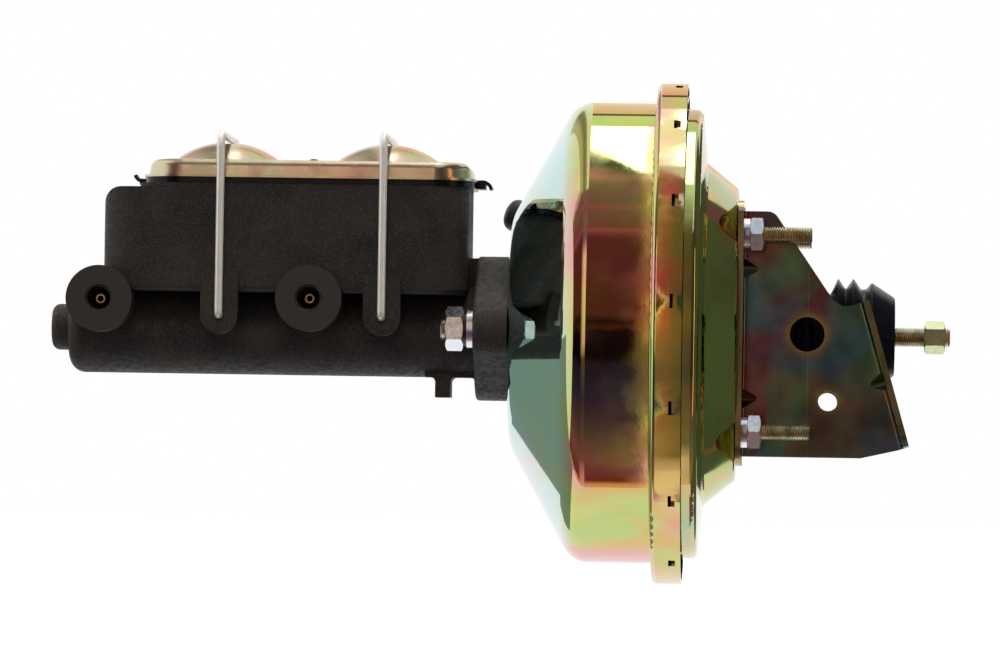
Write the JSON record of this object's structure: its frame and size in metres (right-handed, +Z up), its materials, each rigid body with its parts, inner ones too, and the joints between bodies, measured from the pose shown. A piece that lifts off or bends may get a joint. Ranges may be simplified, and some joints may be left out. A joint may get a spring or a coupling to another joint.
{
  "type": "power brake booster and master cylinder",
  "caption": "Vacuum brake booster in yellow zinc with a cast-iron dual-bowl master cylinder, wire bails, folded firewall brackets, rubber boot and threaded push rod.",
  "frame": {"origin": "the booster's axis on the rear shell's flat mounting face, where the brackets bolt on", "axes": "+X along the push rod to the pedal, +Z up to the reservoir lid, -Y to the side with the outlet ports"},
  "size_m": [0.4483, 0.2494, 0.2495],
  "materials": {
    "yellow_zinc": "bright yellow zinc plate with iridescent tints",
    "bright_zinc": "clear bright zinc plate",
    "cast_iron": "dark sand casting",
    "black_rubber": "smooth black rubber",
    "black_plastic": "moulded, satin",
    "spring_steel": "oiled spring wire",
    "aluminium": "turned",
    "brass": "turned",
    "foam": "open foam"
  },
  "bodies": {
    "housing": {"front_shell": "yellow_zinc", "rear_shell": "yellow_zinc", "stud_plate": "yellow_zinc", "bracket_near": "yellow_zinc", "bracket_far": "yellow_zinc", "rear_studs": "yellow_zinc", "rear_washers": "yellow_zinc", "rear_nuts": "bright_zinc", "mc_studs": "yellow_zinc", "mc_washers": "bright_zinc", "mc_lock_washers": "bright_zinc", "mc_nuts": "bright_zinc", "mc_body": "cast_iron", "tube_seats": "brass", "cover": "yellow_zinc", "cover_gasket": "black_rubber", "valve_grommet": "black_rubber", "front_seal": "black_rubber", "neck_seal": "black_rubber", "neck_bearing": "black_plastic", "snap_ring": "spring_steel", "boot": "black_rubber", "diaphragm": "black_rubber", "return_spring": "spring_steel", "secondary_spring": "spring_steel"},
    "power_piston": {"valve_body": "black_plastic", "diaphragm_plate": "yellow_zinc", "reaction_disc": "black_rubber", "output_rod": "yellow_zinc", "plunger_key": "yellow_zinc", "poppet_valve": "black_rubber", "poppet_retainer": "yellow_zinc", "poppet_spring": "spring_steel", "rod_spring": "spring_steel", "air_filter": "foam", "silencer": "foam"},
    "input_rod": {"push_rod": "yellow_zinc", "jam_nut": "bright_zinc", "valve_plunger": "aluminium"},
    "primary_piston": {"primary_piston": "aluminium", "primary_cups": "black_rubber", "primary_spring": "spring_steel"},
    "secondary_piston": {"secondary_piston": "aluminium", "secondary_cups": "black_rubber"},
    "front_bail": {"front_bail": "bright_zinc"},
    "rear_bail": {"rear_bail": "bright_zinc"},
    "check_valve": {"check_valve": "black_plastic"}
  },
  "joints": [
    {"name": "power_slide", "type": "slide", "parent": "housing", "child": "power_piston", "axis": [-1, 0, 0], "range_m": [0, 0.03], "stiffness_N_per_m": 2000, "springref_m": -0.05, "deforming": ["return_spring", "boot", "diaphragm"]},
    {"name": "rod_slide", "type": "slide", "parent": "housing", "child": "input_rod", "axis": [-1, 0, 0], "range_m": [0, 0.0315], "deforming": ["rod_spring"]},
    {"name": "primary_slide", "type": "slide", "parent": "housing", "child": "primary_piston", "axis": [-1, 0, 0], "range_m": [0, 0.03], "deforming": ["primary_spring"]},
    {"name": "secondary_slide", "type": "slide", "parent": "housing", "child": "secondary_piston", "axis": [-1, 0, 0], "range_m": [0, 0.015], "deforming": ["secondary_spring"]},
    {"name": "front_bail_swing", "type": "hinge", "parent": "housing", "child": "front_bail", "pos_m": [-0.256, 0, 0.0052], "axis": [0, -1, 0], "range_deg": [0, 60]},
    {"name": "rear_bail_swing", "type": "hinge", "parent": "housing", "child": "rear_bail", "pos_m": [-0.1755, 0, 0.0052], "axis": [0, 1, 0], "range_deg": [0, 40]},
    {"name": "check_valve_swivel", "type": "hinge", "parent": "housing", "child": "check_valve", "pos_m": [-0.10228, 0.05183, 0.05558], "axis": [-0.8763, 0.3286, 0.3523], "range_deg": [-30, 30]}
  ],
  "couplings": [
    {"joint": "rod_slide", "follows": "power_slide", "ratio": 1.05},
    {"joint": "primary_slide", "follows": "power_slide", "ratio": 1},
    {"joint": "secondary_slide", "follows": "power_slide", "ratio": 0.5}
  ]
}
